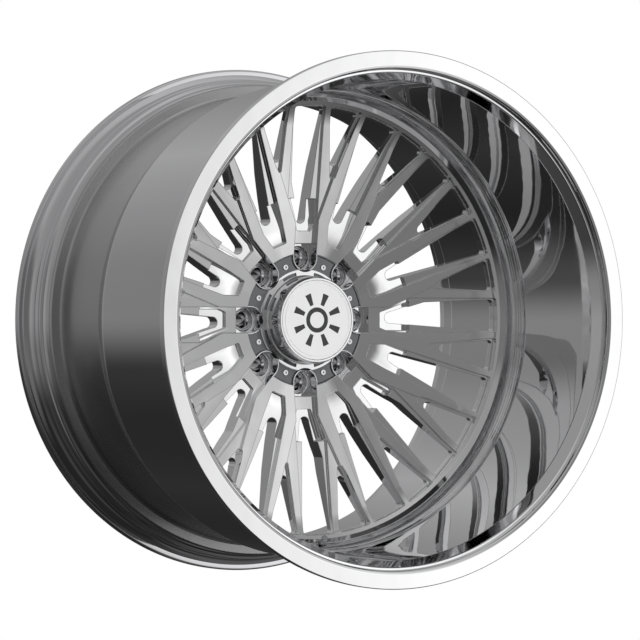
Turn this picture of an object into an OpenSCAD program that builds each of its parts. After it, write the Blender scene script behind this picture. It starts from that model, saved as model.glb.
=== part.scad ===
// Forged deep-lip eight-lug truck wheel: forged centre welded into a forged barrel, with a bolt-on
// centre cap and a clamp-in tyre valve. Millimetres. The wheel turns about Y, its outboard face
// looks along -Y, Z is up, and the origin is the middle of the rear face that meets the hub.

/* [Rim] */
// Radius of the outer edge of both flanges
flange_r = 350; // [345:1:355]
// Width over both flanges
overall_w = 429.5; // [420:0.5:440]
// Distance of the hub face behind the middle of the rim
inset = 101; // [96:1:106]
// Thickness of each flange at its edge
flange_t = 11.5; // [9:0.5:13]
// Radius of the bead seats at the flanges
bead_r = 332.6; // [331:0.1:334]
// Outside radius of the drop centre
well_r = 309.5; // [308:0.5:311]
// Outside radius of the long barrel behind the lip
drum_r = 321; // [320:0.5:324]
// Inside radius of the lip beside the face
lip_r = 310; // [309.5:0.1:311]

/* [Hub] */
// Diameter of the hub bore
hub_bore_d = 125.2; // [121:0.1:126]
// Radius of the rear pad that meets the hub
pad_r = 103; // [101:1:105]
// Number of lug holes
lugs = 8; // [8]
// Diameter of the circle that the lug holes stand on
lug_circle_d = 170; // [168:0.1:172]
// Diameter of each lug hole in its steel seat
lug_hole_d = 16; // [15:0.1:17]
// Half the width of each lug channel
channel_w = 17.4; // [17:0.1:18]

/* [Face] */
// Radius where the spoke plates start
face_r0 = 89.8; // [89:0.1:91]
// Height of the spoke face there, over the hub face
face_z0 = 65.5; // [65:0.1:66]
// Radius where the face turns up to the outer ring
face_r1 = 265; // [262:1:268]
// Height of the face there
face_z1 = 89; // [88:0.5:90]
// Inner and outer radius of the outer ring's band
ring_r0 = 295.8; // [295:0.1:297]
ring_r1 = 301.5; // [301:0.1:302]
// Outer ends of the windows
window_r = 291; // [289:0.5:292]
// Drop from the main arms to the side fingers
finger_drop = 4; // [3:0.5:5]

/* [Cap] */
// Radius of the cap's can
can_r = 59; // [57:0.5:60]
// Height of the cap's face over the hub face
cap_z = 98; // [96:0.5:100]
// Radius of the cap's face disc
disc_r = 53.6; // [52:0.2:54]
// Radius of the circle of cap screws
screw_circle_r = 77.2; // [77:0.1:77.6]

/* [Valve] */
// Radius and height at which the valve's axis meets the face ring
valve_r = 303.5; // [303:0.1:304]
valve_z = 107; // [106.5:0.1:107.5]
// Lean of the valve from the wheel's axis
valve_lean = 40; // [38:1:42]
// Diameter of the valve hole
valve_hole_d = 8.3; // [8.2:0.1:8.5]
// Diameter of the round pocket in front of the valve hole
scoop_d = 16.5; // [16:0.1:17]

/* [Hidden] */

$fn = 96;
far = 500;                       // past every face, for cuts
front_z = overall_w / 2 + inset; // outer face of the outboard flange
rear_z = front_z - overall_w;    // outer face of the inboard flange
sector = 360 / lugs;
lug_r = lug_circle_d / 2;
seat_outer_r = 14.4;             // outside of each pressed-in seat
flange_inner_r = flange_r * 0.944;

hole_r = window_r - 1;           // outer ends of the through holes, on a small ledge

// Heights on the spoke face: the main arms, and what lies a depth below them
face_slope = (face_z1 - face_z0) / (face_r1 - face_r0);
ring_z0 = 97.7;
ring_z1 = 103.8;
function face_z(r) = r < face_r1 ? face_z0 + (r - face_r0) * face_slope
    : face_z1 + (r - face_r1) * (ring_z0 - face_z1) / (ring_r0 - face_r1);

// The wheel is drawn round Z with its face up, then laid onto its axle
module on_axle() {
    rotate([90, 0, 0]) children();
}

// A copy of the child in every sector, turned clockwise as seen from the front
module each_sector(turn = 0) {
    for (i = [0 : lugs - 1]) rotate([0, 0, -turn - i * sector]) children();
}

// All space above the spoke face sunk by a depth
module above_face(depth) {
    rotate_extrude($fn = 180) polygon([
        [face_r0 - 40, face_z(face_r0 - 40) - depth],
        [face_r1, face_z1 - depth],
        [ring_r0, ring_z0 - depth],
        [ring_r0, far], [face_r0 - 40, far]]);
}

// ---- outlines of the windows, in the sector whose middle is a lug (or a plate, for plate_*) ----
// They run clockwise-positive in x and outwards in y

// Rounds the inside corners of an outline and ends it on the windows' outer circle
module window(radius, end = window_r) {
    offset(r = radius, $fn = 24) offset(delta = -radius) intersection() {
        children();
        circle(r = end, $fn = 96);
    }
}

module lug_outline() {
    polygon([[-channel_w, 100], [channel_w, 100], [channel_w, 300],
        [-30.3, 300], [-30.3, 164], [-channel_w, 129.5]]);
}

module lug_recess_outline() {
    polygon([[-10.5, 121], [10.5, 121], [14.4, 131], [16, 300], [-29, 300], [-26, 166]]);
}

module lug_hole_outline() {
    polygon([[-10.8, 139], [-24.5, 187], [-28.8, 300], [16.6, 300], [4.2, 139]]);
    translate([-3.3, 139]) circle(r = 7.5, $fn = 32);
}

module plate_outline() {
    polygon([[-9.1, 107.8], [11.6, 107.8], [14.6, 140], [21.8, 300], [-34.8, 300], [-18.5, 132]]);
}

module plate_hole_outline() {
    polygon([[-13, 148.5], [-21.5, 210], [-33, 300], [20.6, 300], [9.8, 210], [2, 148.5]]);
    translate([-5.5, 148.5]) circle(r = 7.5, $fn = 32);
}

module right_fork_outline() {
    polygon([[32.4, 196], [24.6, 300], [80, 300], [44.6, 209.7], [39.4, 195]]);
    translate([35.9, 195.6]) circle(r = 3.6, $fn = 24);
}

module right_fork_hole_outline() {
    polygon([[33.2, 216], [27.2, 300], [77, 300], [45, 215]]);
    translate([39.1, 216]) circle(r = 6, $fn = 32);
}

module left_fork_outline() {
    polygon([[-43.6, 203], [-38.2, 300], [-96, 300], [-56.4, 209.7], [-51, 201]]);
    translate([-47.3, 202]) circle(r = 3.7, $fn = 24);
}

module left_fork_hole_outline() {
    polygon([[-44.3, 219], [-40.2, 300], [-93, 300], [-57.2, 219]]);
    translate([-50.7, 219]) circle(r = 6.4, $fn = 32);
}

// The two side fingers beside a lug window, which lie lower than the main arms
module finger_outline() {
    polygon([[channel_w - 1, 133], [35.8, 190.4], [50, 284], [10, 291]]);
    polygon([[-channel_w + 1, 128], [-47.3, 198.5], [-62, 280], [-20, 290]]);
}

// ---- wheel centre ----

pilot_z = 40;       // end of the bore that the hub's pilot fits
seal_bore_r = 63.4; // wider bore past it, for the cap's skirt

module centre_blank() {
    rotate_extrude($fn = 180) polygon([
        [hub_bore_d / 2 + 1, 0], [pad_r - 2, 0], [pad_r, 2], [pad_r + 5, 20], [126, 35],
        [175, 43], [210, 51], [245, 63], [285, 77], [296, 80], [304, 80], [304, 98],
        [ring_r1, ring_z1], [ring_r0, ring_z0], [face_r1, face_z1],
        [face_r0 + 1, face_z(face_r0 + 1)], [face_r0, face_z(face_r0) - 1.2],
        [face_r0 - 0.3, 60], [68, 60], [68, 58.4], [64.2, 58.4], [seal_bore_r, 57.6],
        [seal_bore_r, pilot_z], [hub_bore_d / 2, pilot_z], [hub_bore_d / 2, 1]]);
}

// Raised U-shaped lip round the hub end of each lug channel
module lug_lips() {
    each_sector() linear_extrude(height = 66) difference() {
        union() {
            translate([0, lug_r]) circle(r = channel_w + 1.6, $fn = 64);
            translate([-channel_w - 1.6, lug_r]) square([2 * channel_w + 3.2, 8]);
        }
        circle(r = 68.4, $fn = 180);
    }
}

module lug_channels() {
    each_sector() {
        translate([0, lug_r, 46]) cylinder(r = channel_w, h = far, $fn = 64);
        translate([-channel_w, lug_r, 46]) cube([2 * channel_w, 19, far]);
        translate([0, lug_r, 0]) rotate_extrude($fn = 48) polygon([[0, -1], [seat_outer_r, -1],
            [seat_outer_r, 44.4], [seat_outer_r + 1.8, 46.2], [seat_outer_r + 1.8, 48], [0, 48]]);
    }
}

module sunk(depth, height = far) {
    intersection() {
        linear_extrude(height = height) children();
        above_face(depth);
    }
}

module window_cuts() {
    each_sector() {
        translate([0, 0, 64]) linear_extrude(height = far) intersection() {
            window(3) lug_outline();
            translate([-60, 90]) square([120, 74]);
        }
        sunk(finger_drop + 4) window(3) lug_outline();
        sunk(finger_drop) intersection() {
            finger_outline();
            circle(r = window_r + 0.8, $fn = 180);
        }
        translate([0, 0, 57]) linear_extrude(height = far) intersection() {
            window(2) lug_recess_outline();
            translate([-60, 90]) square([120, 75]);
        }
        linear_extrude(height = far) window(4.5, hole_r) lug_hole_outline();
        sunk(9) window(2.5) right_fork_outline();
        sunk(9) window(2.5) left_fork_outline();
        linear_extrude(height = far) window(4.5, hole_r) right_fork_hole_outline();
        linear_extrude(height = far) window(4.5, hole_r) left_fork_hole_outline();
    }
    each_sector(sector / 2) {
        sunk(6) window(2.5) plate_outline();
        translate([0, 0, 64.6]) linear_extrude(height = far) intersection() {
            window(2.5) plate_outline();
            translate([-60, 90]) square([120, 75]);
        }
        linear_extrude(height = far) window(4.5, hole_r) plate_hole_outline();
    }
}

module cap_screw_holes(d, z, h) {
    each_sector(sector / 2) translate([0, screw_circle_r, z]) cylinder(d = d, h = h, $fn = 32);
}

module wheel_centre() {
    color("silver") on_axle() difference() {
        union() {
            centre_blank();
            intersection() {
                lug_lips();
                translate([0, 0, 40]) cylinder(r = 100, h = 40, $fn = 180);
            }
        }
        lug_channels();
        window_cuts();
        cap_screw_holes(4.2, 44, 30);
        on_valve() valve_cuts();
    }
}

// ---- barrel ----

// Rounded nose of a flange: points along an arc from one angle to another
function arc(cx, cy, r, a0, a1, n) = [for (i = [0 : n]) let (a = a0 + (a1 - a0) * i / n)
    [cx + r * cos(a), cy + r * sin(a)]];

module barrel_profile() {
    nose = flange_t - 3;
    polygon(concat(
        // outboard flange face, nose and bead seat
        [[flange_inner_r, front_z], [flange_r - 1.2, front_z], [flange_r, front_z - 1.2]],
        [[flange_r, front_z - nose]],
        arc(flange_r - 3, front_z - nose, 3, 0, -75, 4),
        arc(flange_r - 6, front_z - flange_t - 9, 9, 95, 172, 6),
        [[bead_r - 1.9, front_z - 42], [drum_r, front_z - 50]],
        // long drum, slope, drop centre
        [[drum_r, 88], [well_r, 58], [well_r, -44]],
        arc(well_r + 4, -48, 4, 180, 250, 3),
        [[324.5, -53], [326, -56], [325.4, -59], [327, -66], [329.4, -70]],
        arc(330.6, -74, 3, 60, -60, 5),
        [[bead_r - 1.6, -80], [bead_r, rear_z + flange_t + 10]],
        arc(flange_r - 6, rear_z + flange_t + 9, 9, 188, 265, 6),
        arc(flange_r - 3, rear_z + nose, 3, 75, 0, 4),
        [[flange_r, rear_z + 1.2], [flange_r - 1.2, rear_z]],
        // inside, from the back
        [[331, rear_z], [328.5, rear_z + 2.5], [326.2, rear_z + 16], [325, rear_z + 18]],
        [[324, -70], [319, -58], [303.5, -42], [302.4, -38], [302.4, 70], [304, 78]],
        // land for the centre, stepped seam and lip
        [[304, 98], [307.4, 116], [307.4, 119], [308.6, 120], [307.6, 121.6], [307.6, 124]],
        [[309, 125], [307.8, 127], [307.8, 129.5], [309.4, 131], [308.6, 133]],
        arc(lip_r - 0.4 + 3, 134, 3, 200, 140, 4),
        [[lip_r, 140], [313.6, front_z - 22.4], [321.5, front_z - 10], [322.4, front_z - 8.7]],
        [[325.4, front_z - 8.5], [326, front_z - 2], [327.4, front_z - 0.5]]));
}

module rim_barrel() {
    color("gainsboro") on_axle() difference() {
        rotate_extrude($fn = 180) barrel_profile();
        on_valve() valve_cuts();
    }
}

// Weld in the V between the centre and the barrel, turned to a smooth hollow
module front_weld() {
    color("silver") on_axle() difference() {
        rotate_extrude($fn = 180) polygon([[304, 98], [307.4, 116], [305.9, 114.2], [304.7, 112],
            [303.6, 109], [302.4, 106], [ring_r1, ring_z1]]);
        on_valve() valve_cuts();
    }
}

// Fillet weld at the back of the joint
module rear_weld() {
    color("darkgray") on_axle() difference() {
        rotate_extrude($fn = 180) polygon([[304, 80], [304, 78], [302.4, 70], [301.4, 73.5],
            [299.6, 77], [297, 80]]);
        on_valve() valve_cuts();
    }
}

// Pressed-in steel seats: a stepped collar over a cone for the lug nuts
module lug_seats() {
    color("dimgray") on_axle() each_sector() translate([0, lug_r, 0]) rotate_extrude($fn = 48)
        polygon([[lug_hole_d / 2, 0], [seat_outer_r, 0], [seat_outer_r, 43],
            [seat_outer_r - 0.6, 43.6], [13, 43.6], [12.5, 43.1], [12.5, 41], [12.1, 40.6],
            [lug_hole_d / 2 + 3.2, 40.6], [lug_hole_d / 2, 35]]);
}

// ---- centre cap ----

skirt_r = 59.3;
collar_r = 70;
slot_reach = 10; // half the angle of each slot in the collar

module cap_plate_outline() {
    difference() {
        circle(r = face_r0 - 0.8, $fn = 180);
        circle(r = skirt_r + 0.3, $fn = 180);
        each_sector() {
            translate([0, lug_r]) circle(r = channel_w + 2.2, $fn = 64);
            translate([-channel_w - 2.2, lug_r]) square([2 * channel_w + 4.4, 20]);
        }
    }
}

module cap_flange() {
    color("#4a4a4a") on_axle() difference() {
        translate([0, 0, 60]) linear_extrude(height = 3) cap_plate_outline();
        cap_screw_holes(4.6, 59, 5);
        cap_screw_holes(8, 61.6, 5);
    }
}

module cap_body() {
    color("silver") on_axle() difference() {
        rotate_extrude($fn = 180) polygon([[50, 44], [skirt_r - 0.8, 44], [skirt_r, 44.8],
            [skirt_r, 63], [collar_r, 63],
            [collar_r, 64.2], [collar_r - 1.2, 65.4], [60.8, 65.4], [can_r + 0.6, 66],
            [can_r, 67.6],
            [can_r, cap_z - 4.4], [can_r - 0.5, cap_z - 3.6], [57.2, cap_z - 0.4], [56.6, cap_z],
            [disc_r + 0.7, cap_z], [disc_r + 0.1, cap_z - 0.6], [disc_r + 0.1, cap_z - 2.6],
            [0, cap_z - 2.6], [0, cap_z - 5.6], [50, cap_z - 5.6]]);
        each_sector() translate([0, lug_r, 60]) cylinder(r = channel_w + 2.4, h = 8, $fn = 64);
        each_sector(sector / 2) translate([0, 0, 62]) linear_extrude(height = 8)
            collar_slot_outline();
    }
}

// Curved slot through the collar beside each screw
module collar_slot_outline() {
    intersection() {
        difference() {
            circle(r = 65.6, $fn = 180);
            circle(r = 61.2, $fn = 180);
        }
        polygon([[0, 0], [-90 * tan(slot_reach), 90], [90 * tan(slot_reach), 90]]);
    }
}

module cap_disc() {
    color("whitesmoke") on_axle() difference() {
        translate([0, 0, cap_z - 2.6]) cylinder(r = disc_r, h = 2.3, $fn = 180);
        translate([0, 0, cap_z - 0.8]) linear_extrude(height = 2) emblem_outline();
        rotate_extrude($fn = 180) polygon([[49.2, cap_z - 0.9], [50.1, cap_z - 0.9],
            [50.1, cap_z + 1], [49.2, cap_z + 1]]);
    }
}

// Plain mark: eight short bars round a ring, in line with the eight plates
module emblem_outline() {
    difference() {
        circle(r = 17, $fn = 96);
        circle(r = 11, $fn = 96);
    }
    each_sector(sector / 2) polygon([[-2.6, 21], [2.6, 21], [4.6, 37], [-4.6, 37]]);
}

module cap_emblem() {
    color("#3a3a3a") on_axle() translate([0, 0, cap_z - 0.8]) linear_extrude(height = 0.6)
        emblem_outline();
}

module cap_screws() {
    color("white") on_axle() each_sector(sector / 2) translate([0, screw_circle_r, 0])
        difference() {
            union() {
                translate([0, 0, 50]) cylinder(d = 4, h = 12.6, $fn = 32);
                translate([0, 0, 61.6]) cylinder(d = 7.4, h = 2.6, $fn = 32);
            }
            translate([0, 0, 62.6]) cylinder(d = 3.4, h = 3, $fn = 6);
        }
}

// Rubber ring in the hub bore round the cap's skirt
module cap_oring() {
    color("#202020") on_axle() rotate_extrude($fn = 180)
        translate([(skirt_r + seal_bore_r) / 2, 52]) circle(d = seal_bore_r - skirt_r, $fn = 24);
}

// Flat gasket under the cap's flange
module cap_gasket() {
    color("#303030") on_axle() rotate_extrude($fn = 180) polygon([[64.4, 58.4], [67.8, 58.4],
        [67.8, 60], [64.4, 60]]);
}

// ---- valve ----

// Puts the valve's own axis, +Z outwards to the driver's side, at the bottom of the face ring
module on_valve() {
    rotate([0, 0, 180]) translate([0, valve_r, valve_z]) rotate([valve_lean, 0, 0]) children();
}

seat_z = -8;      // floor of the round pocket, on the valve's axis
back_z = -25;     // face that the head of the valve is drawn up to
stem_top_z = 13;

module valve_cuts() {
    translate([0, 0, seat_z]) cylinder(d = scoop_d, h = 60, $fn = 48);
    translate([0, 0, back_z - 4]) cylinder(d = valve_hole_d, h = 60, $fn = 48);
    translate([0, 0, back_z - 30]) cylinder(d = 20, h = 30, $fn = 48);
}

module valve_stem() {
    color("lightgray") on_axle() on_valve() rotate_extrude($fn = 48) polygon([
        [1.6, back_z - 5.6], [7.6, back_z - 5.6], [8, back_z - 5.2], [8, back_z - 2.4],
        [7.6, back_z - 2], [3.9, back_z - 2], [3.9, 1], [3.7, 1.4], [3.7, stem_top_z - 0.5],
        [3.4, stem_top_z], [2.7, stem_top_z], [2.7, -8], [1.6, -10]]);
}

module valve_grommet() {
    color("#1c1c1c") on_axle() on_valve() rotate_extrude($fn = 48) polygon([
        [3.9, back_z - 2], [7.2, back_z - 2], [7.2, back_z], [3.9, back_z]]);
}

module valve_washer() {
    color("lightgray") on_axle() on_valve() translate([0, 0, seat_z]) difference() {
        cylinder(d = 13.6, h = 1.2, $fn = 48);
        translate([0, 0, -1]) cylinder(d = 8, h = 4, $fn = 48);
    }
}

module valve_nut() {
    color("silver") on_axle() on_valve() translate([0, 0, seat_z + 1.2]) difference() {
        cylinder(d = 12.7, h = 5, $fn = 6);
        translate([0, 0, -1]) cylinder(d = 7.84, h = 8, $fn = 48);
    }
}

core_top_z = 11.5;

module core_body() {
    color("goldenrod") on_axle() on_valve() rotate_extrude($fn = 48) polygon([
        [0.75, 4], [0.75, core_top_z - 1], [1.3, core_top_z], [2.5, core_top_z], [2.5, 6],
        [2.1, 5.4], [2.1, -6.4], [1.5, -6.8], [0.75, -6.8], [0.75, -6], [1.5, -5.8],
        [1.5, 3.4], [1.5, 4]]);
}

module core_gasket() {
    color("#b03a2e") on_axle() on_valve() rotate_extrude($fn = 48) polygon([
        [2.15, 1], [2.65, 1], [2.65, 4.4], [2.15, 4.4]]);
}

module core_pin() {
    color("khaki") on_axle() on_valve() rotate_extrude($fn = 32) polygon([
        [0, -13], [0.9, -13], [0.9, -9.6], [0.7, -9.6], [0.7, 3], [1.3, 3], [1.3, 3.6],
        [0.7, 3.6], [0.7, core_top_z + 0.7], [0.45, core_top_z + 1], [0, core_top_z + 1]]);
}

// Rubber cup on the pin that shuts the bottom of the core
module core_seal() {
    color("#202020") on_axle() on_valve() rotate_extrude($fn = 32) polygon([
        [0.7, -9.2], [1.35, -9.2], [1.35, -6.85], [0.7, -6.85]]);
}

// Helix of round wire, as rings of points joined by faces
spring_z0 = -5.3;
spring_z1 = 2.7;
spring_coils = 5;
spring_steps = 60;
spring_sides = 6;
function spring_point(i, j) =
    let (a = 360 * spring_coils * i / spring_steps, b = 360 * j / spring_sides,
        rad = 1.1 + 0.22 * cos(b), z = spring_z0 + (spring_z1 - spring_z0) * i / spring_steps)
    [rad * cos(a), rad * sin(a), z + 0.22 * sin(b)];

module core_spring() {
    n = spring_sides;
    color("silver") on_axle() on_valve() polyhedron(
        points = [for (i = [0 : spring_steps], j = [0 : n - 1]) spring_point(i, j)],
        faces = concat(
            [[for (j = [0 : n - 1]) j]],
            [for (i = [0 : spring_steps - 1], j = [0 : n - 1])
                [i * n + j, (i + 1) * n + j, (i + 1) * n + (j + 1) % n]],
            [for (i = [0 : spring_steps - 1], j = [0 : n - 1])
                [i * n + j, (i + 1) * n + (j + 1) % n, i * n + (j + 1) % n]],
            [[for (j = [n - 1 : -1 : 0]) spring_steps * n + j]]));
}

cap_bottom_z = 4;
cap_top_z = 17;

module valve_cap_seal() {
    color("#202020") on_axle() on_valve() rotate_extrude($fn = 48) polygon([
        [2, stem_top_z + 0.1], [3.7, stem_top_z + 0.1], [3.7, stem_top_z + 1.2],
        [2, stem_top_z + 1.2]]);
}

module valve_cap() {
    color("silver") on_axle() on_valve() difference() {
        rotate_extrude($fn = 48) polygon([[3.76, cap_bottom_z], [4.9, cap_bottom_z],
            [5.1, cap_bottom_z + 0.3], [5.1, cap_top_z - 2.4], [4.6, cap_top_z - 1],
            [3.6, cap_top_z], [0, cap_top_z], [0, stem_top_z + 1.25],
            [3.76, stem_top_z + 1.25]]);
        for (i = [0 : 11]) rotate([0, 0, i * 30]) translate([5.4, 0, cap_bottom_z - 1])
            cylinder(r = 0.7, h = 9, $fn = 16);
    }
}

rim_barrel();
wheel_centre();
front_weld();
rear_weld();
lug_seats();
cap_flange();
cap_body();
cap_disc();
cap_emblem();
cap_screws();
cap_oring();
cap_gasket();
valve_stem();
valve_grommet();
valve_washer();
valve_nut();
core_body();
core_gasket();
core_pin();
core_seal();
core_spring();
valve_cap_seal();
valve_cap();
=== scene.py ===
"""Forged deep-lip eight-lug truck wheel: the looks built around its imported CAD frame."""

import math

import bmesh
import bpy
from mathutils import Matrix, Vector


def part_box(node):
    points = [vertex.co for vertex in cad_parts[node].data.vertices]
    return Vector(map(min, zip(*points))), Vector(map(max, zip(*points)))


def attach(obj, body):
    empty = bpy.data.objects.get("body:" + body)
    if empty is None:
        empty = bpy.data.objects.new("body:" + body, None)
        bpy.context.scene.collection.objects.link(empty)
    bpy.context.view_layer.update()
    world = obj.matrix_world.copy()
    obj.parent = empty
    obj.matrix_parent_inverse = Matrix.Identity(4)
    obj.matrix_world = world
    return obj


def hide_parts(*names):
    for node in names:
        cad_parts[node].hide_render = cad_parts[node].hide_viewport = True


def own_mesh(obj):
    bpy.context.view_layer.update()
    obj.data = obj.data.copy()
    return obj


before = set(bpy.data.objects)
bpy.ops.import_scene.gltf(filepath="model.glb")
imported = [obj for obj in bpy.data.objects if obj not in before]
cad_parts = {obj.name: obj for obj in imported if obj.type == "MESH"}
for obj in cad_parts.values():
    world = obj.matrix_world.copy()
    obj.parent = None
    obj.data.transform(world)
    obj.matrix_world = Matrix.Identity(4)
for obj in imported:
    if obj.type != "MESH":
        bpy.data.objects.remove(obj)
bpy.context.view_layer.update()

# ---- sizes, in millimetres until a piece is placed ----

MM = 0.001
TURN = 2 * math.pi
# The wheel is shaped round Z with its face up, then laid onto its axle
AXLE = Matrix.Rotation(math.radians(90), 4, "X")

low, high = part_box("rim_barrel")
FLANGE_R = high.z / MM
FRONT_Z = -low.y / MM
REAR_Z = -high.y / MM

VALVE_R = 303.5
VALVE_Z = 107.0
VALVE_LEAN = 40.0
VALVE = (
    AXLE
    @ Matrix.Rotation(math.radians(180), 4, "Z")
    @ Matrix.Translation((0, VALVE_R * MM, VALVE_Z * MM))
    @ Matrix.Rotation(math.radians(VALVE_LEAN), 4, "X")
)


# ---- materials ----


def colour(code):
    """An sRGB hex value as linear RGBA."""
    parts = [int(code[i : i + 2], 16) / 255 for i in (1, 3, 5)]
    return [c / 12.92 if c <= 0.04045 else ((c + 0.055) / 1.055) ** 2.4 for c in parts] + [1]


def add(tree, kind, inputs=None, **settings):
    """Adds a node with its settings; an input is given a value, or the socket that feeds it."""
    made = tree.nodes.new(kind)
    for name, value in settings.items():
        setattr(made, name, value)
    for name, value in (inputs or {}).items():
        if isinstance(value, bpy.types.NodeSocket):
            tree.links.new(value, made.inputs[name])
        else:
            made.inputs[name].default_value = value
    return made


def start(name, hex_code, metallic, roughness, **constants):
    """A material with a Principled shader; constants are set on the shader's own sockets."""
    made = bpy.data.materials.new(name)
    made.use_nodes = True
    shader = made.node_tree.nodes["Principled BSDF"]
    shader.inputs["Base Color"].default_value = colour(hex_code)
    shader.inputs["Metallic"].default_value = metallic
    shader.inputs["Roughness"].default_value = roughness
    for socket, value in constants.items():
        shader.inputs[socket.replace("_", " ")].default_value = value
    made.diffuse_color = colour(hex_code)
    return made, made.node_tree, shader


def ring_radius(tree):
    """Distance from the wheel's axle, in metres, from Object coordinates."""
    place = add(tree, "ShaderNodeTexCoord").outputs["Object"]
    parts = add(tree, "ShaderNodeSeparateXYZ", {0: place})
    flat = add(tree, "ShaderNodeCombineXYZ", {0: parts.outputs[0], 2: parts.outputs[2]})
    made = add(tree, "ShaderNodeVectorMath", {0: flat.outputs[0]}, operation="LENGTH")
    return made.outputs["Value"]


def smudge(tree, shader, size_mm, low_rough, high_rough):
    """Cloudy roughness, as polish and handling leave it."""
    place = add(tree, "ShaderNodeTexCoord").outputs["Object"]
    cloud = add(tree, "ShaderNodeTexNoise", {"Vector": place, "Scale": 1 / (size_mm * MM),
                                             "Detail": 4.0, "Roughness": 0.6})
    spread = add(tree, "ShaderNodeMapRange", {"Value": cloud.outputs["Fac"], "From Min": 0.3,
                                              "From Max": 0.7, "To Min": low_rough,
                                              "To Max": high_rough})
    tree.links.new(spread.outputs["Result"], shader.inputs["Roughness"])


def mirror_alloy(name, rolled_edge):
    """6061 aluminium, forged, machined and mirror polished: clear reflections, faintly clouded."""
    made, tree, shader = start(name, "#F6F6F7", 1.0, 0.03)
    smudge(tree, shader, 60, 0.012, 0.045)
    place = add(tree, "ShaderNodeTexCoord").outputs["Object"]
    # Polishing waves some 40 mm long and a few microns high bend a straight reflection slightly
    wave = add(tree, "ShaderNodeTexNoise", {"Vector": place, "Scale": 25.0, "Detail": 1.0})
    bump = add(tree, "ShaderNodeBump", {"Height": wave.outputs["Fac"], "Strength": 0.012,
                                        "Distance": 0.01})
    if rolled_edge:
        # Buffing rolls every edge and inside corner over a millimetre or so
        rolled = add(tree, "ShaderNodeBevel", {"Radius": rolled_edge * MM}, samples=6)
        tree.links.new(rolled.outputs["Normal"], bump.inputs["Normal"])
    tree.links.new(bump.outputs["Normal"], shader.inputs["Normal"])
    return made


def turned_alloy():
    """6061 aluminium turned on a lathe, then buffed, with fine rings 1.2 mm apart."""
    made, tree, shader = start("turned_and_buffed_6061_aluminium", "#EFEFF0", 1.0, 0.12)
    smudge(tree, shader, 45, 0.08, 0.16)
    radius = ring_radius(tree)
    across = add(tree, "ShaderNodeMath", {0: radius, 1: 1 / (1.2 * MM)}, operation="MULTIPLY")
    place = add(tree, "ShaderNodeTexCoord").outputs["Object"]
    stray = add(tree, "ShaderNodeTexNoise", {"Vector": place, "Scale": 30.0, "Detail": 2.0})
    shifted = add(tree, "ShaderNodeMath", {0: stray.outputs["Fac"], 1: 2.0, 2: across.outputs[0]},
                  operation="MULTIPLY_ADD")
    lines = add(tree, "ShaderNodeTexNoise", {"W": shifted.outputs[0], "Scale": 1.0, "Detail": 3.0},
                noise_dimensions="1D")
    bump = add(tree, "ShaderNodeBump", {"Height": lines.outputs["Fac"], "Strength": 0.3,
                                        "Distance": 0.0006})
    tree.links.new(bump.outputs["Normal"], shader.inputs["Normal"])
    return made


def barrel_alloy():
    """6061 aluminium spun and fine-polished: softer than the face, with faint spin lines."""
    made, tree, shader = start("fine_polished_6061_aluminium", "#ECECEE", 1.0, 0.04)
    smudge(tree, shader, 80, 0.025, 0.06)
    place = add(tree, "ShaderNodeTexCoord").outputs["Object"]
    stretched = add(tree, "ShaderNodeMapping", {"Vector": place, "Scale": (3.0, 400.0, 3.0)})
    lines = add(tree, "ShaderNodeTexNoise", {"Vector": stretched.outputs[0], "Scale": 1.0,
                                             "Detail": 2.0})
    bump = add(tree, "ShaderNodeBump", {"Height": lines.outputs["Fac"], "Strength": 0.02,
                                        "Distance": 0.0004})
    tree.links.new(bump.outputs["Normal"], shader.inputs["Normal"])
    return made


def satin_alloy_with_painted_shade():
    """6061 aluminium as turned in the drop centre, with a satin sheen; its base colour, greyer
    than the drum's, is painted shade standing in for the darker reflection there.
    """
    made, tree, shader = start("satin_aluminium_with_painted_shade", "#D2D2D3", 1.0, 0.24)
    smudge(tree, shader, 70, 0.2, 0.28)
    return made


def weld_alloy():
    """Aluminium weld bead, brushed by hand: duller than the forging, with a coarse ripple."""
    made, tree, shader = start("brushed_aluminium_weld", "#C9CACC", 1.0, 0.35)
    smudge(tree, shader, 6, 0.28, 0.42)
    return made


def steel(name, code, rough):
    """Carbon steel, turned and zinc plated: a cooler, darker metal with a fine grain."""
    made, tree, shader = start(name, code, 1.0, rough)
    smudge(tree, shader, 4, rough * 0.8, rough * 1.3)
    return made


def satin_chrome():
    """Satin chrome on the cap's moulded can: a bright metal with a slight haze."""
    made, tree, shader = start("satin_chrome_plate", "#F2F2F3", 0.92, 0.07)
    smudge(tree, shader, 9, 0.05, 0.09)
    return made


def lacquer(name, code, rough, coat):
    """Sprayed paint under lacquer: an even colour with a clear gloss and a slight orange peel."""
    made, tree, shader = start(name, code, 0.0, rough, Coat_Weight=coat, Coat_Roughness=0.06)
    place = add(tree, "ShaderNodeTexCoord").outputs["Object"]
    peel = add(tree, "ShaderNodeTexNoise", {"Vector": place, "Scale": 700.0, "Detail": 1.0})
    bump = add(tree, "ShaderNodeBump", {"Height": peel.outputs["Fac"], "Strength": 0.05,
                                        "Distance": 0.0002})
    tree.links.new(bump.outputs["Normal"], shader.inputs["Normal"])
    tint = add(tree, "ShaderNodeTexNoise", {"Vector": place, "Scale": 30.0, "Detail": 3.0})
    ramp = add(tree, "ShaderNodeValToRGB", {"Fac": tint.outputs["Fac"]})
    full = colour(code)
    ramp.color_ramp.elements[0].color = [c * 0.95 for c in full[:3]] + [1]
    ramp.color_ramp.elements[1].color = full
    tree.links.new(ramp.outputs["Color"], shader.inputs["Base Color"])
    return made


def rubber():
    """Moulded EPDM rubber: near black, matt, with a fine grain."""
    made, tree, shader = start("moulded_EPDM_rubber", "#1D1D1E", 0.0, 0.6)
    smudge(tree, shader, 3, 0.5, 0.72)
    return made


def brass():
    """Free-cutting brass, turned and left bare."""
    made, tree, shader = start("turned_brass", "#D9B468", 1.0, 0.2)
    smudge(tree, shader, 2, 0.14, 0.28)
    return made


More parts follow.
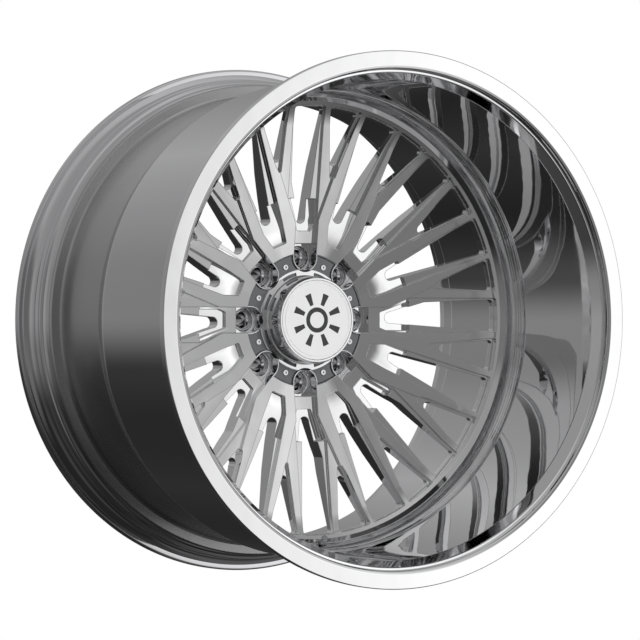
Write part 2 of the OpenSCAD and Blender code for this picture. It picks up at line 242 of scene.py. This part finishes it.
MIRROR = mirror_alloy("mirror_polished_6061_aluminium", 1.3)
LIP = mirror_alloy("mirror_polished_lip_aluminium", 0)
WELL_PAINTED_SHADE = satin_alloy_with_painted_shade()
# The drop centre material's greyer colour is painted shade, not a different metal.
TURNED = turned_alloy()
BARREL = barrel_alloy()
WELD = weld_alloy()
SEAT_STEEL = steel("chromed_seat_steel", "#E6E6E8", 0.1)
NICKEL = steel("nickel_plated_brass", "#DCDCDD", 0.1)
SCREW_STEEL = steel("chromed_screw_steel", "#E4E4E6", 0.08)
CHROME = satin_chrome()
DARK_PAINT = lacquer("dark_grey_lacquer", "#5C5D5F", 0.3, 0.6)
WHITE_PAINT = lacquer("white_enamel", "#EFEFEF", 0.35, 0.3)
EMBLEM_INK = lacquer("charcoal_enamel_ink", "#3A3A3A", 0.4, 0.1)
RUBBER = rubber()
RED_SEAL = lacquer("red_PTFE", "#A5352A", 0.45, 0.0)
BRASS = brass()


# ---- mesh tools ----


def finish_piece(name, mesh, body, materials, nodes=(), smooth_under=13):
    """A mesh as a piece on its body: smooth where it curves, flat where it is flat."""
    piece = bpy.data.objects.new(name, mesh)
    bpy.context.scene.collection.objects.link(piece)
    for one in materials:
        mesh.materials.append(one)
    mesh.shade_smooth()
    mesh.set_sharp_from_angle(angle=math.radians(smooth_under))
    even = piece.modifiers.new("even_normals", "WEIGHTED_NORMAL")
    even.keep_sharp = True
    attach(piece, body)
    if nodes:
        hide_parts(*nodes)
    return piece


def rounded_outline(corners):
    """A closed wire outline in the XZ plane from (radius, height, rounding) corners."""
    bm = bmesh.new()
    layer = []
    for radius, height, rounding in corners:
        layer.append((bm.verts.new((radius * MM, 0, height * MM)), rounding))
    ring = [v for v, _ in layer]
    for a, b in zip(ring, ring[1:] + ring[:1]):
        bm.edges.new((a, b))
    for size in sorted({r for _, r in layer if r > 0}):
        picked = [v for v, r in layer if r == size]
        bmesh.ops.bevel(bm, geom=picked, offset=size * MM, offset_type="OFFSET",
                        affect="VERTICES", segments=max(3, min(8, int(2 + size))), profile=0.5,
                        material=-1, clamp_overlap=True)
    return bm


def turned(corners, steps=360):
    """A solid of revolution round Z from a closed, rounded outline."""
    bm = rounded_outline(corners)
    bmesh.ops.spin(bm, geom=bm.verts[:] + bm.edges[:], cent=(0, 0, 0), axis=(0, 0, 1),
                   angle=TURN, steps=steps, use_merge=True)
    bmesh.ops.remove_doubles(bm, verts=bm.verts, dist=1e-7)
    bmesh.ops.recalc_face_normals(bm, faces=bm.faces)
    return bm


def to_mesh(name, bm, place):
    """A placed mesh from the bmesh, which it frees."""
    bm.transform(place)
    mesh = bpy.data.meshes.new(name)
    bm.to_mesh(mesh)
    bm.free()
    return mesh


def softened_copy(node, name, body, material, edge_mm, sharp=25, merge_flat=0.5):
    """A CAD node's own shape with its edges broken by a small round."""
    bm = bmesh.new()
    bm.from_mesh(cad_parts[node].data)
    bmesh.ops.remove_doubles(bm, verts=bm.verts, dist=2e-6)
    bmesh.ops.dissolve_limit(bm, angle_limit=math.radians(merge_flat), verts=bm.verts,
                             edges=bm.edges, use_dissolve_boundaries=False, delimit=set())
    edges = [e for e in bm.edges if len(e.link_faces) == 2
             and e.calc_face_angle(0) > math.radians(sharp)]
    bmesh.ops.bevel(bm, geom=edges, offset=edge_mm * MM, offset_type="OFFSET", affect="EDGES",
                    segments=2, profile=0.5, material=-1, clamp_overlap=True)
    bmesh.ops.remove_doubles(bm, verts=bm.verts, dist=2e-6)
    mesh = to_mesh(name, bm, Matrix.Identity(4))
    return finish_piece(name, mesh, body, [material], [node], smooth_under=28)


def cut(mesh, tools):
    """The mesh with closed cutting shapes taken out of it."""
    blank = bpy.data.objects.new("blank", mesh)
    bpy.context.scene.collection.objects.link(blank)
    cutters = []
    for tool in tools:
        cutter = bpy.data.objects.new("cutter", tool)
        bpy.context.scene.collection.objects.link(cutter)
        cutters.append(cutter)
        drill = blank.modifiers.new("drill", "BOOLEAN")
        drill.operation = "DIFFERENCE"
        drill.solver = "EXACT"
        drill.object = cutter
    ready = blank.evaluated_get(bpy.context.evaluated_depsgraph_get())
    result = bpy.data.meshes.new_from_object(ready)
    for one in [blank, *cutters]:
        bpy.data.objects.remove(one)
    return result


# ---- pieces ----


def rim_shell():
    """The forged barrel with its stepped lip, bead seats, hump and drop centre."""
    nose = 8.5
    inner = FLANGE_R * 0.944
    bead = 332.6
    well = 309.5
    drum = 321.0
    lip = 310.0
    # The tool leaves a few shallow rings on the rear bead seat
    ring_depth = 0.5
    ring_pitch = 1.1
    seat_lines = [(bead - 1.3 + ring_depth * (i % 2), -81.5 - ring_pitch * i, 0)
                  for i in range(8)]
    corners = [
        (inner + 0.2, FRONT_Z, 0.6), (FLANGE_R, FRONT_Z, 1.2), (FLANGE_R, FRONT_Z - 11.5, 3),
        (342.5, FRONT_Z - 11.5, 0), (336.5, FRONT_Z - 14.5, 3), (bead, FRONT_Z - 20.5, 3),
        (bead - 1.9, FRONT_Z - 42, 2), (drum, FRONT_Z - 50, 4),
        (drum, 88, 5), (well, 58, 5), (well, -44, 3), (well + 2, -52, 2), (324.5, -53, 0.8),
        (326, -56, 0.8), (325.4, -59, 0.8), (327, -66, 1), (329.4, -70, 1), (332.6, -71, 1),
        (333.6, -74, 1), (332.6, -77, 1), (bead - 1.6, -80, 1), *seat_lines,
        (bead, REAR_Z + 20.5, 3), (336.5, REAR_Z + 14.5, 3), (342.5, REAR_Z + 11.5, 0),
        (FLANGE_R, REAR_Z + 11.5, 3),
        (FLANGE_R, REAR_Z, 1.2), (331, REAR_Z, 0.8), (328.5, REAR_Z + 2.5, 0.6),
        (326.2, REAR_Z + 16, 0.8), (325, REAR_Z + 18, 0.8), (324, -70, 3), (319, -58, 3),
        (303.5, -42, 2), (302.4, -38, 1), (302.4, 70, 1), (304, 78, 0), (304, 98, 0),
        (307.4, 116, 0.3), (307.4, 119, 0.3), (308.6, 120, 0.4), (307.6, 121.6, 0.3),
        (307.6, 124, 0.3), (309, 125, 0.4), (307.8, 127, 0.3), (307.8, 129.5, 0.4),
        (309.4, 131, 0.4), (308.4, 133.2, 0.8), (308.4, 136.6, 1.2), (lip, 140, 2),
        (313.6, FRONT_Z - 22.4, 0.8), (321.5, FRONT_Z - 10, 0.5), (322.4, FRONT_Z - 8.7, 0.4),
        (325.4, FRONT_Z - 8.5, 0.4), (326, FRONT_Z - 2, 0.5), (327.4, FRONT_Z - 0.5, 0.3),
    ]
    mesh = cut(to_mesh("rim_shell", turned(corners), AXLE), valve_tools())
    piece = finish_piece("rim_shell", mesh, "root", [LIP, BARREL, WELL_PAINTED_SHADE],
                         ["rim_barrel"])
    for face in mesh.polygons:
        r = math.hypot(face.center.x, face.center.z) / MM
        z = -face.center.y / MM
        outside = r > drum - 13 and z < FRONT_Z - 25 and (r > 316 or z < 90)
        face.material_index = 1 if outside or z < 98 else 0
        # The drop centre takes the satin material, whose greyer colour is painted shade for its
        # darker reflection.
        if r > well - 2 and -60 < z < 86:
            face.material_index = 2
    return piece


def valve_tools():
    """The round pocket, the hole and the rear spot face for the valve."""
    made = []
    for radius, bottom, top in ((8.25, -8, 52), (4.15, -29, 31), (10, -55, -25)):
        bm = bmesh.new()
        bmesh.ops.create_cone(bm, cap_ends=True, segments=64, radius1=radius * MM,
                              radius2=radius * MM, depth=(top - bottom) * MM)
        bm.transform(Matrix.Translation((0, 0, (top + bottom) / 2 * MM)))
        made.append(to_mesh("valve_tool", bm, VALVE))
    return made


def front_hollow():
    """The turned hollow over the weld between the centre and the barrel."""
    corners = [(304, 98, 0), (307.4, 116, 0), (306.2, 114.4, 0.5), (305, 112.2, 0.5),
               (303.9, 109.2, 0.5), (302.6, 106, 0.5), (301.5, 103.8, 0.3)]
    mesh = cut(to_mesh("front_hollow", turned(corners), AXLE), valve_tools())
    return finish_piece("front_hollow", mesh, "root", [TURNED], ["front_weld"])


def rear_bead():
    """The fillet weld at the back of the joint, with the ripple of a hand-run bead."""
    corners = [(304.2, 80, 0), (304.2, 78, 0), (302.4, 70, 0.4), (301.3, 73.5, 1),
               (299.4, 77.2, 1), (297, 80, 0.3)]
    ripples = 240
    ripple_depth = 0.0008
    bm = turned(corners, steps=720)
    for v in bm.verts:
        angle = math.atan2(v.co.y, v.co.x)
        bare = math.hypot(v.co.x, v.co.y) < 302.2 * MM
        if bare and v.co.z > 70.5 * MM and v.co.z < 79.5 * MM:
            v.co.xy *= 1 - ripple_depth * math.sin(angle * ripples)
    mesh = cut(to_mesh("rear_bead", bm, AXLE), valve_tools())
    return finish_piece("rear_bead", mesh, "root", [WELD], ["rear_weld"], smooth_under=60)


def core_coil():
    """The valve core's coil spring, a copy of its CAD shape."""
    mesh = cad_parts["core_spring"].data.copy()
    mesh.materials.clear()
    piece = finish_piece("valve_core_coil", mesh, "root", [SCREW_STEEL],
                         ["core_spring"], smooth_under=70)
    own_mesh(piece)


rim_shell()
front_hollow()
rear_bead()
core_coil()

softened_copy("wheel_centre", "forged_centre", "root", MIRROR, 0.7)
softened_copy("lug_seats", "lug_seat_inserts", "root", SEAT_STEEL, 0.4)
softened_copy("cap_flange", "cap_mounting_flange", "root", DARK_PAINT, 0.3)
softened_copy("cap_body", "cap_can", "root", CHROME, 0.35)
softened_copy("cap_disc", "cap_face_disc", "root", WHITE_PAINT, 0.15)
softened_copy("cap_emblem", "cap_emblem_inlay", "root", EMBLEM_INK, 0.1)
softened_copy("cap_screws", "cap_button_screws", "root", SCREW_STEEL, 0.3)
softened_copy("valve_stem", "valve_stem_body", "root", NICKEL, 0.2)
softened_copy("valve_nut", "valve_hex_nut", "root", NICKEL, 0.3)
softened_copy("valve_washer", "valve_flat_washer", "root", NICKEL, 0.15)
softened_copy("valve_cap", "valve_cap_knurled", "valve_cap", NICKEL, 0.15)

PLAIN = {
    "cap_oring": RUBBER, "cap_gasket": RUBBER, "valve_grommet": RUBBER, "core_body": BRASS,
    "core_gasket": RED_SEAL, "core_pin": BRASS, "core_seal": RUBBER,
    "valve_cap_seal": RUBBER,
}
for node, material in PLAIN.items():
    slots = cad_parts[node].data.materials
    slots.clear()
    slots.append(material)


# ---- studio ----


def floor():
    """A plain pale floor, lit evenly, under the wheel."""
    made = bpy.data.materials.new("pale_floor")
    made.use_nodes = True
    shader = made.node_tree.nodes["Principled BSDF"]
    shader.inputs["Base Color"].default_value = (0, 0, 0, 1)
    shader.inputs["Specular IOR Level"].default_value = 0
    shader.inputs["Emission Color"].default_value = (1, 1, 1, 1)
    shader.inputs["Emission Strength"].default_value = 1.0
    bm = bmesh.new()
    bmesh.ops.create_circle(bm, cap_ends=True, segments=96, radius=60)
    under = Matrix.Translation((0, 0, low.z - 0.5 * MM))
    piece = bpy.data.objects.new("floor", to_mesh("floor", bm, under))
    bpy.context.scene.collection.objects.link(piece)
    piece.data.materials.append(made)
    piece.visible_glossy = False
    piece.visible_diffuse = False
    piece.visible_shadow = False


def ramp(tree, factor, stops):
    """A grey ramp through (place, brightness) stops."""
    made = add(tree, "ShaderNodeValToRGB", {"Fac": factor})
    points = made.color_ramp.elements
    while len(points) < len(stops):
        points.new(0.5)
    for point, (place, grey) in zip(points, stops):
        point.position = place
        point.color = (grey, grey, grey, 1)
    return made.outputs["Color"]


def by_degrees(stops):
    """Ramp stops given in degrees, as shares of a turn."""
    return [((angle + 180) / 360, grey) for angle, grey in stops]


def span(tree, value, low_end, high_end, start_at=0.0, end_at=1.0):
    """A value eased from one level to another between two ends."""
    made = add(tree, "ShaderNodeMapRange",
               {"Value": value, "From Min": low_end, "From Max": high_end, "To Min": start_at,
                "To Max": end_at},
               interpolation_type="SMOOTHSTEP")
    return made.outputs["Result"]


def studio():
    """Soft studio surround: one white card to the front right, grey walls, dark below."""
    world = bpy.data.worlds.new("studio")
    bpy.context.scene.world = world
    world.use_nodes = True
    tree = world.node_tree
    tree.nodes.clear()
    way = add(tree, "ShaderNodeTexCoord").outputs["Generated"]
    parts = add(tree, "ShaderNodeSeparateXYZ", {0: way})
    front = add(tree, "ShaderNodeMath", {0: parts.outputs[1], 1: -1.0}, operation="MULTIPLY")
    turn = add(tree, "ShaderNodeMath", {0: parts.outputs[0], 1: front.outputs[0]},
               operation="ARCTAN2")
    share = add(tree, "ShaderNodeMapRange", {"Value": turn.outputs[0], "From Min": -math.pi,
                                             "From Max": math.pi}).outputs["Result"]
    rise = parts.outputs[2]
    # Greys round the room in degrees from the front, at five heights from floor to ceiling
    walls = [
        [(-180, 0.03), (-150, 0.012), (-90, 0.06), (-60, 0.02), (0, 0.018), (17, 0.04), (35, 0.1),
         (60, 0.1), (95, 0.05), (150, 0.012), (180, 0.03)],
        [(-180, 0.03), (-160, 0.03), (-150, 0.045), (-120, 0.14), (-85, 0.25), (-55, 0.12),
         (0, 0.2), (17, 0.17), (33, 0.2), (60, 0.3), (95, 0.1), (130, 0.03), (180, 0.03)],
        [(-180, 0.33), (-150, 0.22), (-120, 0.24), (-85, 0.33), (-60, 0.17), (-45, 0.13),
         (-25, 0.14), (0, 0.28), (17, 0.2), (35, 0.2), (60, 0.3), (95, 0.3), (130, 0.22),
         (180, 0.33)],
        [(-180, 0.4), (-164, 0.31), (-150, 0.27), (-60, 0.3), (-30, 0.36), (0, 0.46), (17, 0.5),
         (33, 0.3), (95, 0.3), (150, 0.24), (180, 0.4)],
        [(-180, 0.3), (-60, 0.3), (0, 0.5), (60, 0.5), (100, 0.42), (140, 0.3), (180, 0.3)],
    ]
    heights = [(-0.5, -0.2), (-0.2, 0.02), (0.2, 0.42), (0.6, 0.85)]
    grey = ramp(tree, share, by_degrees(walls[0]))
    for stops, (low_end, high_end) in zip(walls[1:], heights):
        level = ramp(tree, share, by_degrees(stops))
        share_up = span(tree, rise, low_end, high_end)
        grey = add(tree, "ShaderNodeMix", {0: share_up, 6: grey, 7: level},
                   data_type="RGBA").outputs[2]
    card = ramp(tree, share, by_degrees([
        (20, 0), (22.5, 0.02), (24, 0.14), (26, 0.36), (28, 0.6), (31, 0.8), (33, 0.95),
        (35, 0.9), (37, 0.6), (39, 0.42), (43, 0.17), (50, 0.1), (70, 0.0)]))
    tall = add(tree, "ShaderNodeMath", {0: rise}, operation="ABSOLUTE")
    edge = span(tree, tall.outputs[0], 0.05, 0.37, 1.0, 0.0)
    lit = add(tree, "ShaderNodeVectorMath", {0: card, "Scale": edge}, operation="SCALE")
    both = add(tree, "ShaderNodeVectorMath", {0: grey, 1: lit.outputs[0]}, operation="ADD")
    seen = add(tree, "ShaderNodeLightPath")
    back = add(tree, "ShaderNodeBackground", {"Color": both.outputs[0], "Strength": 1.0})
    white = add(tree, "ShaderNodeBackground", {"Color": (1, 1, 1, 1), "Strength": 1.0})
    pick = add(tree, "ShaderNodeMixShader", {0: seen.outputs["Is Camera Ray"],
                                             1: back.outputs[0], 2: white.outputs[0]})
    add(tree, "ShaderNodeOutputWorld", {"Surface": pick.outputs[0]})


def soft_light():
    """A broad softbox in front of the wheel, which lights the painted and rubber parts."""
    data = bpy.data.lights.new("softbox", "AREA")
    data.shape = "DISK"
    data.size = 3.0
    data.energy = 230
    box = bpy.data.objects.new("softbox", data)
    bpy.context.scene.collection.objects.link(box)
    box.location = Vector((0.8, -5.0, 1.6))
    box.rotation_euler = (-box.location).to_track_quat("-Z", "Y").to_euler()
    box.visible_glossy = False
    box.visible_camera = False


def camera():
    """A long lens, level with the axle, 30 degrees round to the wheel's left."""
    data = bpy.data.cameras.new("camera")
    data.sensor_width = 36
    data.lens = 199.6
    data.clip_end = 200
    eye = bpy.data.objects.new("camera", data)
    bpy.context.scene.collection.objects.link(eye)
    target = Vector((0, -0.1054, 0))
    angle = math.radians(30.356)
    distance = 4.787
    eye.location = target + distance * Vector((-math.sin(angle), -math.cos(angle), 0))
    eye.rotation_euler = (target - eye.location).to_track_quat("-Z", "Y").to_euler()
    bpy.context.scene.camera = eye


floor()
studio()
soft_light()
camera()
bpy.context.scene.view_settings.view_transform = "Standard"
